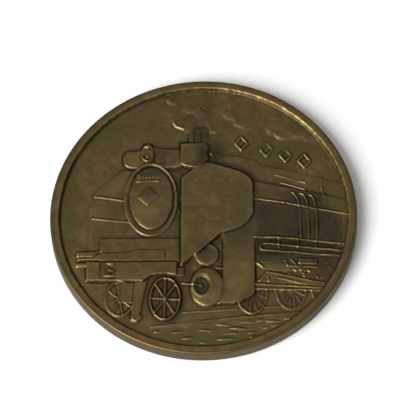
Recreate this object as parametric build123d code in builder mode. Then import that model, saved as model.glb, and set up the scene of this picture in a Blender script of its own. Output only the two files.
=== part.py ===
from build123d import *
from math import pi
import os

# A struck brass railway token: one piece of metal, pressed between two dies. The obverse carries a
# steam locomotive in low relief, seen from the front left corner, and the reverse a spoked wheel
# between two sprigs. Millimetres. The origin is the centre of the reverse rim's plane, +Z points
# out of the obverse, +X to the right of the obverse picture and +Y to its top.

# ---- the blank -----------------------------------------------------------------------------
diameter = 31.0
thickness = 1.7           # over the two rims
edge_round = 0.18         # worn outer corners of both rims
rim_width = 0.9           # from the outer edge to the start of the inner slope
rim_slope = 0.4           # width of the slope from the rim down to the field
relief_guard = 0.09       # what the obverse rim stands above the tallest relief, to take the wear
reverse_guard = 0.12      # the same on the reverse

# ---- how the picture fits the field -----------------------------------------------------------
rim_gap = 0.08            # what the picture keeps clear of the foot of the rim's slope
drawn_radius = 14.12      # radius of the round that both pictures are drawn in
root = 0.1                # how far a raised shape starts below the field, so that it is one metal

# ---- heights of the obverse picture above its field, from the back layer to the front ------------
ballast_height = 0.07
smoke_height = 0.12
boiler_height = 0.10
far_wheel_height = 0.10
rail_height = 0.13
pipe_height = 0.18        # pipes and handrail on the boiler's side
far_plate_height = 0.17   # far smoke deflector
beam_height = 0.20        # front casing, footplate and buffer beam
smokebox_height = 0.20
door_height = 0.25
chimney_height = 0.24
ornament_height = 0.15
wheel_height = 0.22
rod_height = 0.26
cylinder_height = 0.24
near_plate_height = 0.30  # near smoke deflector, nearest to the viewer
boss_height = 0.33        # the small things that stand highest

# ---- widths of the picture's lines ------------------------------------------------------------
fine_line = 0.14
line = 0.22
heavy_line = 0.36

# ---- heights and sizes of the reverse picture -----------------------------------------------
bead_pitch = 1.2
bead_radius = 0.24
bead_height = 0.12
bead_gap = 0.22           # between the beads and the foot of the rim's slope
emblem_radius = 5.6       # spoked wheel in the middle
emblem_rim = 0.9
emblem_hub = 1.3
emblem_spokes = 12
emblem_height = 0.16
flange_width = 0.25       # ring that stands round the wheel's tread
flange_gap = 0.25         # between the two
sprig_radius = 9.3        # arc that both sprigs' stems follow
sprig_start = 16.0        # degrees from the foot of the reverse to the first pair of leaves
leaf_step = 14.5          # degrees from one pair to the next
leaf_pairs = 9
leaf_lean = 35.0          # degrees between a leaf and its stem
leaf_length = 2.3
leaf_width = 0.8
leaf_height = 0.12

# ---- places in the obverse picture, drawn in a round of drawn_radius ---------------------------
# A half pair is half the width and half the height of a round thing seen at an angle.
smokebox_centre = (-5.4, 2.05)
smokebox_half = (2.6, 4.05)
door_half = (2.1, 3.5)
badge_centre = (-5.65, 2.3)
badge_side = 1.35
plate_centre = (-5.62, 4.45)
plate_size = (2.2, 0.85)
lamp_centre = (-5.7, 7.0)
lamp_half = (0.8, 0.97)
stud_radius = 0.25
valve_centre = (0.4, -4.0)
valve_radius = 1.15
cylinder_centre = (0.3, -7.75)
cylinder_half = (1.7, 2.05)
cover_centre = (-0.1, -7.75)
near_wheel_centre = (-3.8, -9.05)
near_wheel_half = (1.57, 2.2)
far_wheel_centre = (-8.3, -9.2)
far_wheel_half = (1.45, 1.8)
leading_spokes = 8
first_driver_centre = (5.0, -8.2)
second_driver_centre = (8.7, -8.1)
lozenge_side = 1.0

# ---- worked out --------------------------------------------------------------------------------
obverse_depth = boss_height + relief_guard
reverse_depth = emblem_height + reverse_guard
radius = diameter / 2
rim_inner = radius - rim_width
field_radius = rim_inner - rim_slope
picture_radius = field_radius - rim_gap
reduction = picture_radius / drawn_radius
flange_radius = emblem_radius + flange_gap + flange_width
bead_ring_radius = field_radius - bead_gap - bead_radius
bead_count = round(2 * pi * bead_ring_radius / bead_pitch)
obverse_field = thickness - obverse_depth
obverse_plane = Plane.XY.offset(obverse_field - root)
reverse_plane = Plane((0, 0, reverse_depth + root), x_dir=(-1, 0, 0), z_dir=(0, 0, -1))


def fit_to_field():
    """Bring the open sketch to the field's size and cut off what would run into the rim."""
    scale(by=reduction)
    Circle(picture_radius, mode=Mode.INTERSECT)


def plate(*points):
    """A flat shape with straight sides."""
    with BuildLine() as outline:
        Polyline(*points, close=True)
    make_face(outline.edges())


def stroke(*points, width=line):
    """A raised line that bends at its points."""
    with BuildLine() as path:
        Polyline(*points)
    trace(path.line, line_width=width)


def bow(start, middle, end, width=line):
    """A raised line along one arc."""
    with BuildLine() as path:
        ThreePointArc(start, middle, end)
    trace(path.line, line_width=width)


def oval(centre, half):
    """A round thing seen at an angle, so that it is narrower than it is high."""
    with Locations(centre):
        Ellipse(*half)


def oval_ring(centre, half, width=line):
    """The outermost band of such a round thing."""
    with BuildSketch() as ring:
        Ellipse(*half)
        Ellipse(half[0] - width, half[1] - width, mode=Mode.SUBTRACT)
    with Locations(centre):
        add(ring.sketch)


def spoked_wheel(centre, half, count, rim=line, spoke=fine_line):
    """A wheel seen at an angle: its rim, and straight spokes that end inside the rim."""
    oval_ring(centre, half, rim)
    for number in range(count):
        reach = Vector(1, 0).rotate(Axis.Z, 360 * number / count)
        tip = (centre[0] + (half[0] - rim / 2) * reach.X, centre[1] + (half[1] - rim / 2) * reach.Y)
        stroke(centre, tip, width=spoke)


# ---- obverse picture, one function for each part of the locomotive and its track ----------------
def smoke():
    """Puffs that roll from the chimney along the top of the field."""
    puffs = [
        (-2.6, 11.6, 1.1), (-0.9, 11.2, 1.5), (-1.4, 12.9, 1.5), (1.0, 11.7, 1.7), (1.4, 13.3, 1.5),
        (3.4, 12.0, 1.5), (4.6, 13.0, 1.4), (5.6, 11.6, 1.4), (7.2, 10.9, 1.5), (8.9, 10.2, 1.2),
    ]
    with BuildSketch(obverse_plane) as sketch:
        for x, y, size in puffs:
            with Locations((x, y)):
                Circle(size)
        fit_to_field()
    return sketch.sketch


def boiler_side():
    """The long side of the boiler, from its top line down to the running board."""
    with BuildSketch(obverse_plane) as sketch:
        plate((2.0, 6.7), (5.4, 6.0), (9.5, 5.0), (14.5, 3.9), (14.5, -3.2), (5.0, -2.2), (2.0, -2.0))
        fit_to_field()
    return sketch.sketch


def boiler_pipes():
    """Handrail, sand pipes, running board and the pipe loop under it."""
    with BuildSketch(obverse_plane) as sketch:
        stroke((5.2, 2.1), (8.05, 1.57), (14.3, 0.3))
        stroke((7.3, 4.75), (10.1, 3.9), width=fine_line)
        stroke((7.9, 3.85), (10.2, 3.1), width=fine_line)
        for top_x, top_y, elbow_x, foot_x in [(9.0, 2.75, 9.65, 9.8), (9.8, 2.6, 10.4, 10.6),
                                              (10.8, 2.4, 11.35, 11.5)]:
            stroke((top_x, top_y), (elbow_x, 1.1), (foot_x, -2.4))
        stroke((4.4, -2.1), (8.0, -2.5), (14.2, -3.25), width=heavy_line)
        stroke((6.1, -3.05), (10.0, -3.45), (13.9, -3.95))
        stroke((6.1, -3.7), (10.0, -4.05), (13.3, -4.4))
        bow((6.1, -3.05), (5.7, -3.4), (6.1, -3.7))
        for x in (7.55, 8.6, 9.6):
            stroke((x, -2.5), (x, -4.0))
        fit_to_field()
    return sketch.sketch


def far_deflector():
    """Smoke deflector on the far side, seen from inside, with its two handrails proud of it."""
    with BuildSketch(obverse_plane) as sketch:
        plate((-6.4, 5.2), (-8.4, 5.4), (-11.1, 2.9), (-11.5, -3.75), (-6.4, -3.75))
        fit_to_field()
    return sketch.sketch


def near_deflector():
    """Smoke deflector on the near side, the largest plate of the picture."""
    with BuildSketch(obverse_plane) as sketch:
        with BuildLine():
            Polyline(
                (-2.0, -5.4), (-2.25, 4.3), (-1.3, 4.9), (0.5, 6.1), (4.0, 5.05), (5.05, 4.0), (5.05, 0.5)
            )
            ThreePointArc((5.05, 0.5), (4.35, -0.8), (2.5, -1.6))
            Polyline((2.5, -1.6), (1.4, -1.8), (-2.0, -5.4))
        make_face()
        fit_to_field()
    return sketch.sketch


def smokebox():
    """Round front of the smokebox behind its door."""
    with BuildSketch(obverse_plane) as sketch:
        oval(smokebox_centre, smokebox_half)
        fit_to_field()
    return sketch.sketch


def smokebox_door():
    """The door, and the ring round the smokebox that it shuts against."""
    with BuildSketch(obverse_plane) as sketch:
        oval_ring(smokebox_centre, smokebox_half)
        oval(smokebox_centre, door_half)
        fit_to_field()
    return sketch.sketch


def chimney_and_heater():
    """Chimney on its base, the feed-water heater across the smokebox and the lamp in front."""
    with BuildSketch(obverse_plane) as sketch:
        plate((-2.3, 5.9), (-1.5, 5.7), (0.4, 6.1), (0.4, 8.45), (-2.3, 8.45))
        plate((-1.5, 8.4), (0.35, 8.4), (0.5, 10.0), (-1.7, 10.0))
        plate((-7.8, 5.75), (-2.2, 5.7), (-2.2, 7.8), (-7.8, 7.8))
        oval((-7.8, 6.78), (0.4, 1.02))
        plate((-5.6, 6.1), (-4.0, 6.2), (-4.0, 8.1), (-5.6, 8.0))
        fit_to_field()
    return sketch.sketch


def front_beam():
    """Front casing between the cylinders, the footplate step beside it and the buffer beam below."""
    with BuildSketch(obverse_plane) as sketch:
        plate((-10.35, -2.45), (-2.35, -2.45), (-2.35, -3.4), (-4.1, -3.75), (-7.0, -3.75), (-7.6, -4.3),
              (-10.35, -4.3))
        plate((-12.7, -3.9), (-10.2, -3.9), (-11.0, -4.6), (-12.6, -4.6))
        plate((-11.7, -5.0), (-2.6, -5.0), (-2.6, -6.4), (-5.3, -6.45), (-6.0, -7.1), (-11.7, -7.1))
        fit_to_field()
    return sketch.sketch


def cylinder_block():
    """Steam casing between the valve chest and the first driving wheel."""
    with BuildSketch(obverse_plane) as sketch:
        plate((2.0, -1.5), (5.15, -1.5), (5.15, -8.1), (3.3, -9.4), (0.3, -9.8), (0.3, -3.0))
        oval(cylinder_centre, cylinder_half)
        with Locations(valve_centre):
            Circle(valve_radius)
        fit_to_field()
    return sketch.sketch


def far_wheel():
    """Leading wheel on the far side, with the step panel and the rail guard beside it."""
    with BuildSketch(obverse_plane) as sketch:
        spoked_wheel(far_wheel_centre, far_wheel_half, leading_spokes)
        stroke((-8.5, -7.4), (-8.5, -9.45), (-6.9, -9.45))
        plate((-6.85, -7.3), (-5.75, -7.3), (-6.0, -9.5), (-6.1, -10.9), (-6.7, -11.4), (-6.5, -9.5))
        fit_to_field()
    return sketch.sketch


def near_wheels():
    """Near leading wheel and the parts of the driving wheels that show below the rods."""
    with BuildSketch(obverse_plane) as sketch:
        spoked_wheel(near_wheel_centre, near_wheel_half, leading_spokes)
        bow((3.3, -9.5), (5.0, -10.75), (6.5, -9.6), width=heavy_line)
        bow((7.1, -8.4), (8.8, -10.3), (10.3, -8.9), width=heavy_line)
        for foot in [(3.8, -10.1), (4.7, -10.6), (5.6, -10.5), (6.2, -10.0)]:
            stroke(first_driver_centre, foot, width=fine_line)
        for foot in [(7.6, -9.7), (8.6, -10.2), (9.5, -9.9), (10.0, -9.2)]:
            stroke(second_driver_centre, foot, width=fine_line)
        stroke((10.6, -8.4), (10.9, -9.2))
        fit_to_field()
    return sketch.sketch


def rods():
    """Coupling rod, the sloping rod above it and the piston rod in front of the cylinder."""
    with BuildSketch(obverse_plane) as sketch:
        stroke((5.15, -7.75), (11.6, -8.1), width=heavy_line)
        stroke((6.2, -6.25), (11.0, -7.45), width=heavy_line)
        stroke((5.6, -6.8), (6.5, -7.3))
        stroke((-2.2, -7.4), (-0.3, -7.6))
        fit_to_field()
    return sketch.sketch


def bosses():
    """What stands highest: badge, blank plate, lamp, wheel hub, covers, deflector's edge and handrails."""
    with BuildSketch(obverse_plane) as sketch:
        with Locations(badge_centre):
            Rectangle(badge_side, badge_side, rotation=45)
        with Locations(plate_centre):
            Rectangle(*plate_size)
        oval_ring(lamp_centre, lamp_half)
        with Locations(lamp_centre, (0.7, 7.3)):
            Circle(stud_radius)
        oval(near_wheel_centre, (0.35, 0.45))
        oval_ring(valve_centre, (0.9, 0.9))
        oval_ring(cover_centre, (0.95, 1.15))
        stroke((-2.0, -5.2), (1.5, -1.8), width=heavy_line)
        stroke((-10.9, 2.3), (-8.1, 1.85))
        stroke((-11.1, -0.1), (-8.1, -0.5))
        fit_to_field()
    return sketch.sketch


def rails():
    """The two rails, running up to the right."""
    with BuildSketch(obverse_plane) as sketch:
        stroke((-1.6, -10.65), (3.3, -10.3))
        stroke((6.2, -10.1), (8.0, -10.05))
        stroke((-5.2, -12.0), (1.0, -11.4), (9.6, -10.75))
        fit_to_field()
    return sketch.sketch


def ballast():
    """Stones and sleepers in front of the track, as short dashes."""
    dashes = [
        ((-3.1, -12.9), (-1.9, -12.75)), ((-2.0, -13.4), (-0.9, -13.35)), ((-0.5, -12.5), (1.1, -12.65)),
        ((1.3, -11.95), (2.8, -12.0)), ((2.6, -12.35), (4.6, -12.5)), ((2.1, -12.9), (4.1, -12.9)),
        ((1.4, -13.5), (3.6, -13.4)), ((3.7, -11.65), (7.6, -11.6)), ((5.9, -12.3), (6.6, -12.2)),
        ((7.1, -12.0), (7.9, -11.85)), ((8.0, -11.35), (8.7, -11.35)),
    ]
    with BuildSketch(obverse_plane) as sketch:
        for start, end in dashes:
            stroke(start, end, width=heavy_line)
        fit_to_field()
    return sketch.sketch


def ornaments():
    """Four plain lozenges in a row over the boiler."""
    with BuildSketch(obverse_plane) as sketch:
        for place in [(3.75, 8.6), (6.2, 7.85), (8.1, 7.1), (10.0, 6.45)]:
            with Locations(place):
                Rectangle(lozenge_side, lozenge_side, rotation=45)
        fit_to_field()
    return sketch.sketch


# ---- reverse picture ----------------------------------------------------------------------------
def emblem():
    """Spoked wheel in the middle of the reverse."""
    with BuildSketch(reverse_plane) as sketch:
        spoked_wheel((0, 0), (emblem_radius, emblem_radius), emblem_spokes, emblem_rim, heavy_line)
        oval_ring((0, 0), (flange_radius, flange_radius), flange_width)
        Circle(emblem_hub)
        fit_to_field()
    return sketch.sketch


def sprigs():
    """Two sprigs that rise from the foot of the reverse, each a stem with leaves on both sides."""
    with BuildSketch(reverse_plane) as sketch:
        for side in (1, -1):
            angles = [-90 + side * (sprig_start + number * leaf_step) for number in range(leaf_pairs)]
            nodes = [Vector(sprig_radius, 0).rotate(Axis.Z, angle) for angle in angles]
            bow(nodes[0], nodes[leaf_pairs // 2], nodes[-1])
            for node, angle in zip(nodes, angles):
                for lean in (leaf_lean, -leaf_lean):
                    with Locations(Location((node.X, node.Y), angle + side * 90 + lean)):
                        with Locations((leaf_length / 2, 0)):
                            Ellipse(leaf_length / 2, leaf_width / 2)
        fit_to_field()
    return sketch.sketch


def beads():
    """A ring of round beads inside the reverse rim."""
    with BuildSketch(reverse_plane) as sketch:
        with PolarLocations(bead_ring_radius, bead_count):
            Circle(bead_radius)
    return sketch.sketch


obverse_picture = [
    (ballast, ballast_height),
    (smoke, smoke_height),
    (boiler_side, boiler_height),
    (far_wheel, far_wheel_height),
    (rails, rail_height),
    (boiler_pipes, pipe_height),
    (far_deflector, far_plate_height),
    (front_beam, beam_height),
    (smokebox, smokebox_height),
    (smokebox_door, door_height),
    (chimney_and_heater, chimney_height),
    (ornaments, ornament_height),
    (near_wheels, wheel_height),
    (rods, rod_height),
    (cylinder_block, cylinder_height),
    (near_deflector, near_plate_height),
    (bosses, boss_height),
]
reverse_picture = [(emblem, emblem_height), (sprigs, leaf_height), (beads, bead_height)]

# ---- the token, one solid ---------------------------------------------------------------------
with BuildPart() as struck_token:
    with BuildSketch(Plane.XZ) as section:
        with BuildLine():
            Polyline(
                (0, reverse_depth), (field_radius, reverse_depth), (rim_inner, 0), (radius, 0),
                (radius, thickness), (rim_inner, thickness), (field_radius, obverse_field),
                (0, obverse_field), close=True
            )
        make_face()
        fillet(section.vertices().group_by(Axis.X)[-1], edge_round)
    revolve(axis=Axis.Z)
    for draw, height in obverse_picture + reverse_picture:
        extrude(to_extrude=draw(), amount=root + height)
struck_token.part.label = "struck_token"

os.makedirs("parts", exist_ok=True)
export_step(struck_token.part, "parts/struck_token.step")
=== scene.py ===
import math

import bpy
import numpy as np
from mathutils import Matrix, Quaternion, Vector


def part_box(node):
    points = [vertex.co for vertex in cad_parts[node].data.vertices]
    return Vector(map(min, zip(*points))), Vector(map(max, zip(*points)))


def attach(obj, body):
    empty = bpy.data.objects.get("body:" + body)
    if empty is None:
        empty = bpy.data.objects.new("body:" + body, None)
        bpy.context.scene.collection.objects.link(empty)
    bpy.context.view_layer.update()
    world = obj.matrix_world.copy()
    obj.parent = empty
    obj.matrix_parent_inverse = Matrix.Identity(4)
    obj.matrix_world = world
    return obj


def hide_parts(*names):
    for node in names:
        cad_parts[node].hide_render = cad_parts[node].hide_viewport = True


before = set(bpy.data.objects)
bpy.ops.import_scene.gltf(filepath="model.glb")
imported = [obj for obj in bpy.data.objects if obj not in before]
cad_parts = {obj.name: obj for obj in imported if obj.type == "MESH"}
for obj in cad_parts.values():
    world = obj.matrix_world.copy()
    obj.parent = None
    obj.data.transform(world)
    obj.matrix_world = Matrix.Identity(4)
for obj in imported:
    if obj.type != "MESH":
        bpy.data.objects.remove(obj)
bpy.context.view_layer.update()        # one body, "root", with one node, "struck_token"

# A struck brass railway token. One closed mesh stands for the whole token: both faces are worked out
# as heights in millimetres, shape after shape, the way a die sinker builds up a model, and the edge
# joins them. The obverse shows a steam locomotive from its front left corner.

MM = 0.001
low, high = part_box("struck_token")
RADIUS = (high.x - low.x) / 2 / MM
THICKNESS = (high.z - low.z) / MM

EDGE_ROUND = 0.24          # worn outer corners of both rims
RIM_WIDTH = 0.8            # flat of the rim, from the outer edge inwards
RIM_SLOPE = 0.3            # slope from the rim down to the field
OBVERSE_DEPTH = 0.42       # field below the rim
REVERSE_DEPTH = 0.28
OBVERSE_LOWER = 0.16       # how far below the middle the whole obverse picture was struck
RIM_INNER = RADIUS - RIM_WIDTH
FIELD_RADIUS = RIM_INNER - RIM_SLOPE

PITCH = 0.03               # between the samples of a face
CELLS = 104                # squares across a face before any is halved
LEVELS = 3                 # times that a square may be halved, down to 0.04 mm
NODES = CELLS * 2 ** LEVELS
OBVERSE_TRIANGLES = 128000
REVERSE_TRIANGLES = 48000
NICKS = 60                 # small dents from handling, on each face
NICKED_RADIUS = 15.4       # nicks lie within it

# Soft patches, each a centre x and y, half width and height, and strength. The dark patches are partly
# darker tarnish and partly painted shade: the shaded right side of the chimney, beside the lamp, the upper
# part of the door, under the deflector and among the gear. The green patches are greener tarnish. The pale
# patches are partly rubbed metal and partly painted light: lighter towards the lower left and on the lower
# left of the door, and a painted highlight at the foot of the cylinder.
DARK_PATCHES = [
    (9.5, 2.3, 2.6, 0.7, 0.8), (12.0, -6.4, 1.6, 1.6, 0.8), (6.8, 2.6, 2.2, 1.0, 0.25),
    (1.1, 7.3, 1.3, 1.4, 1.0), (-0.5, 9.3, 1.2, 1.0, 0.9), (0.1, 7.0, 0.9, 1.5, 1.0),
    (-3.8, -9.0, 2.1, 2.75, 0.8), (-4.3, 7.0, 0.8, 1.0, 0.6), (0.4, -3.9, 1.1, 1.1, 0.7),
    (-9.5, -6.0, 0.9, 1.0, 0.7), (-5.0, 5.1, 1.5, 0.6, 0.7), (4.8, -9.4, 1.2, 1.1, 0.9),
    (-0.2, -7.7, 0.7, 0.9, 0.9), (-5.5, 2.7, 0.9, 0.7, 0.5), (4.4, -1.6, 0.9, 0.9, 0.7),
    (8.8, -9.4, 1.2, 0.9, 0.6), (-8.3, -9.2, 1.1, 1.5, 0.4), (-1.3, 11.3, 1.2, 0.6, 0.5),
    (-1.9, -6.4, 0.9, 0.9, 0.7), (1.9, -5.2, 0.4, 1.6, 0.6), (-2.4, 0.2, 0.35, 5.0, 0.35),
    (0.4, 12.3, 0.8, 0.6, 0.5), (5.9, -4.9, 1.0, 0.6, 0.5), (3.6, 7.0, 2.4, 0.35, 0.4),
    (7.5, 5.6, 2.4, 0.5, 0.4), (-2.0, -5.4, 1.0, 0.4, 0.5), (3.6, -2.4, 1.5, 1.0, 0.45),
    (-7.0, 10.6, 2.4, 1.6, 0.3), (-9.4, -8.3, 0.7, 0.7, 0.4),
]
GREEN_PATCHES = [
    (-13.6, 3.0, 0.9, 5.2, 1.0), (-10.4, 9.6, 2.6, 1.7, 0.9), (-2.6, 13.2, 4.0, 1.1, 0.8),
    (3.9, 1.8, 1.3, 2.8, 0.7), (-2.6, 0.5, 0.5, 5.0, 0.8), (8.0, 7.2, 4.4, 1.4, 0.8),
    (12.9, 2.4, 1.4, 3.0, 0.6), (3.6, -2.4, 1.6, 1.1, 0.9), (1.0, -13.4, 6.5, 1.2, 0.65),
    (-8.3, -8.6, 1.3, 1.3, 0.7), (-9.4, -12.0, 2.3, 1.3, 0.7), (-1.6, 7.2, 3.2, 1.0, 0.5),
    (7.0, -4.6, 2.0, 0.8, 0.8), (2.6, 10.4, 1.1, 0.8, 0.8), (1.2, 9.0, 1.0, 2.0, 0.6),
    (-5.2, -5.9, 1.5, 0.7, 0.4), (-6.6, 4.2, 1.4, 1.0, 0.5), (-9.8, 1.0, 0.9, 0.7, 0.4),
    (10.2, 10.2, 1.6, 1.2, 0.6), (-6.0, 8.6, 1.2, 0.6, 0.4), (-6.6, 10.8, 2.6, 1.6, 0.2),
]
PALE_PATCHES = [
    (-8.5, -8.5, 4.0, 2.6, 0.2), (1.2, -9.6, 2.6, 1.3, 0.24), (3.4, -7.2, 1.7, 2.4, 0.2),
    (9.6, -8.0, 2.2, 0.9, 0.12), (-12.4, -5.4, 1.2, 1.6, 0.3), (-7.3, 6.6, 1.3, 1.0, 0.2),
    (0.5, -12.2, 6.0, 1.6, 0.1), (-5.6, 0.4, 1.4, 1.5, 0.2), (-9.4, -10.6, 2.6, 1.2, 0.12),
    (10.4, 4.6, 1.0, 1.2, 0.1), (-10.0, 3.6, 2.0, 2.0, 0.06),
]
# Painted shade: dark lines along the upper and right sides of what stands proud, where its shadow falls:
# reach, strength and route.
PAINTED_SHADE_LINES = [
    (0.45, 0.85, [(-1.5, 5.75), (-0.4, 6.25), (0.3, 6.4), (2.1, 6.0), (3.8, 5.5), (4.8, 4.8), (5.3, 4.1)]),
    (0.35, 0.7, [(5.3, 4.1), (5.35, 0.6), (5.1, -0.2), (4.6, -0.9)]),
    (0.45, 0.85, [(-4.8, -6.9), (-3.6, -6.4), (-2.4, -7.3), (-1.9, -9.0), (-2.3, -10.9), (-3.1, -11.6)]),
    (0.22, 0.5, [(-10.4, -2.25), (-2.5, -2.25)]),
    (0.22, 0.8, [(-12.7, -4.98), (-2.5, -4.98)]),
    (0.3, 0.7, [(-4.3, 6.1), (-3.2, 5.1), (-2.65, 3.6), (-2.5, 2.0)]),
    (0.25, 0.8, [(-2.5, 8.55), (0.2, 8.6), (0.7, 8.0)]),
    (0.22, 0.6, [(5.3, 4.2), (8.5, 3.42), (12.6, 2.5)]),
    (0.3, 0.7, [(0.0, -3.2), (1.0, -3.3), (1.5, -4.2)]),
    (0.3, 0.7, [(0.2, -5.6), (1.5, -6.0), (2.2, -7.6), (1.9, -9.0)]),
]
# The shaded side of the boiler and the gear under it are dark all over.
UNDER_BOILER = [(5.2, 1.9), (8.2, 1.8), (9.2, 2.6), (11.8, 2.3), (12.6, 1.0), (13.9, -0.4), (14.2, -4.4),
                (12.8, -6.4), (10.4, -5.5), (5.2, -5.0)]


def soft_step(value):
    """0 up to 0, 1 from 1 on, and a smooth rise between."""
    value = np.clip(value, 0, 1)
    return value * value * (3 - 2 * value)


def blur(heights, reach):
    """Heights averaged over about reach millimetres each way, by three box passes."""
    half = max(int(round(reach / PITCH)), 1)
    for _ in range(3):
        for axis in (0, 1):
            padded = np.concatenate([np.repeat(heights.take([0], axis), half + 1, axis), heights,
                                     np.repeat(heights.take([-1], axis), half, axis)], axis)
            total = np.cumsum(padded, axis)
            count = heights.shape[axis]
            ahead = total.take(np.arange(2 * half + 1, 2 * half + 1 + count), axis)
            heights = (ahead - total.take(np.arange(count), axis)) / (2 * half + 1)
    return heights


def smooth(points, closed=False, steps=8):
    """A smooth curve through the points, as more points."""
    points = [np.array(point, float) for point in points]
    ends = (points[-1:], points[:2]) if closed else (points[:1], points[-1:])
    row = ends[0] + points + ends[1]
    curve = []
    for before, start, end, after in zip(row, row[1:], row[2:], row[3:]):
        for step in range(steps):
            t = step / steps
            bend = 2 * before - 5 * start + 4 * end - after
            twist = 3 * start - before - 3 * end + after
            curve.append(0.5 * (2 * start + (end - before) * t + bend * t ** 2 + twist * t ** 3))
    return curve if closed else curve + [points[-1]]


def around(radius, angle):
    """The point at that radius and angle, seen from the middle."""
    return np.array([radius * math.cos(angle), radius * math.sin(angle)])


class Line:
    """A line through points. Its distance is how far a place is from it."""

    def __init__(self, *points):
        self.points = np.array(points, float)
        self.box = (*self.points.min(0), *self.points.max(0))
        self.closed = False

    def sides(self):
        ends = np.roll(self.points, -1, 0)
        return list(zip(self.points, ends))[:None if self.closed else -1]

    def distance(self, x, y):
        nearest = np.full(x.shape, np.inf)
        for (ax, ay), (bx, by) in self.sides():
            dx, dy = bx - ax, by - ay
            along = np.clip(((x - ax) * dx + (y - ay) * dy) / (dx * dx + dy * dy + 1e-12), 0, 1)
            nearest = np.minimum(nearest, np.hypot(x - ax - along * dx, y - ay - along * dy))
        return nearest


class Outline(Line):
    """A closed shape. Distances inside it are negative."""

    def __init__(self, *points):
        super().__init__(*points)
        self.closed = True

    def distance(self, x, y):
        inside = np.zeros(x.shape, bool)
        for (ax, ay), (bx, by) in self.sides():
            if ay != by:
                inside ^= ((ay > y) != (by > y)) & (x < (bx - ax) * (y - ay) / (by - ay) + ax)
        nearest = super().distance(x, y)
        return np.where(inside, -nearest, nearest)


class Oval:
    """A round thing seen at an angle, half[0] wide and half[1] high from its centre."""

    def __init__(self, centre, half):
        self.centre, self.half = centre, half
        self.box = (centre[0] - half[0], centre[1] - half[1], centre[0] + half[0], centre[1] + half[1])

    def distance(self, x, y):
        u, v = (x - self.centre[0]) / self.half[0] + 1e-9, (y - self.centre[1]) / self.half[1]
        far = np.hypot(u, v)
        return far * (far - 1) / np.hypot(u / self.half[0], v / self.half[1])


class Group:
    """Several shapes that are struck as one."""

    def __init__(self, *shapes):
        self.shapes = shapes
        boxes = np.array([shape.box for shape in shapes])
        self.box = (*boxes[:, :2].min(0), *boxes[:, 2:].max(0))

    def distance(self, x, y):
        return np.minimum.reduce([shape.distance(x, y) for shape in self.shapes])


class Face:
    """One face of the token, as heights above its field."""

    def __init__(self, lower=0.0):
        """Lower moves every shape down the face by that much. Waver is how far a hand-cut line strays
        from its course, and worn is how unevenly it has been rubbed down."""
        self.lower = lower
        self.reach = RADIUS + 4 * PITCH
        self.axis = np.arange(-self.reach, self.reach, PITCH)
        self.height = np.zeros((len(self.axis), len(self.axis)))
        random = np.random.default_rng(11)
        self.waver = [self.waves(random, 0.15) * 0.012 for _ in range(2)]
        self.worn = 1 + 0.25 * self.waves(random, 0.5)

    def waves(self, random, reach):
        """Even noise whose waves are about four times the reach long, with a spread of 1."""
        values = blur(random.normal(size=self.height.shape), reach)
        return values / values.std()

    def window(self, box, margin):
        """The samples within a margin of a box, and where they lie, wavering as a hand-cut line does."""
        margin += 2 * PITCH
        ends = (box[0] - margin, box[1] - margin - self.lower,
                box[2] + margin, box[3] + margin - self.lower)
        left, bottom, right, top = [max(int((end + self.reach) / PITCH), 0) for end in ends]
        place = (slice(bottom, top + 1), slice(left, right + 1))
        x, y = np.meshgrid(self.axis[place[1]], self.axis[place[0]])
        return place, x + self.waver[0][place], y + self.lower + self.waver[1][place]

    def lay(self, shape, top, shoulder=0.13):
        """Lay a slab with soft shoulders over what is there. Its top is a height or a function of x, y."""
        place, x, y = self.window(shape.box, shoulder)
        cover = soft_step(0.5 - shape.distance(x, y) / shoulder)
        target = top(x, y) if callable(top) else top
        self.height[place] += cover * (target - self.height[place])

    def bead(self, shape, width, rise):
        """Raise a rounded line along a shape, or sink a groove where rise is negative."""
        place, x, y = self.window(shape.box, width)
        side = np.clip(np.abs(shape.distance(x, y)) * 2 / width, 0, 1)
        self.height[place] += rise * (1 - side ** 2) ** 2 * self.worn[place].clip(0.3, 1.5)

    def strokes(self, *strokes):
        """A bead along each line: its width, its rise and its points."""
        for width, rise, *points in strokes:
            self.bead(Line(*points), width, rise)

    def swell(self, shape, rise, width):
        """Swell the inside of a shape: a quarter round from its outline inwards, over width."""
        place, x, y = self.window(shape.box, PITCH)
        inward = np.clip(-shape.distance(x, y) / width, 0, 1)
        self.height[place] += rise * np.sqrt(1 - (1 - inward) ** 2)


def slope(start, end, low, high):
    """A top that rises evenly from low at start to high at end."""
    start, run = np.array(start, float), np.subtract(end, start).astype(float)

    def top(x, y):
        along = ((x - start[0]) * run[0] + (y - start[1]) * run[1]) / (run @ run)
        return low + (high - low) * np.clip(along, 0, 1)
    return top


# ---- obverse, from the back layer to the front ----------------------------------------------------
def lens(start, end, width):
    """A pointed oval from start to end."""
    start, end = np.array(start, float), np.array(end, float)
    middle, along = (start + end) / 2, (end - start) / math.hypot(*(end - start))
    out = np.array([-along[1], along[0]]) * width / 2
    return Outline(*smooth([start, middle + out, end, middle - out], closed=True, steps=6))


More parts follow.
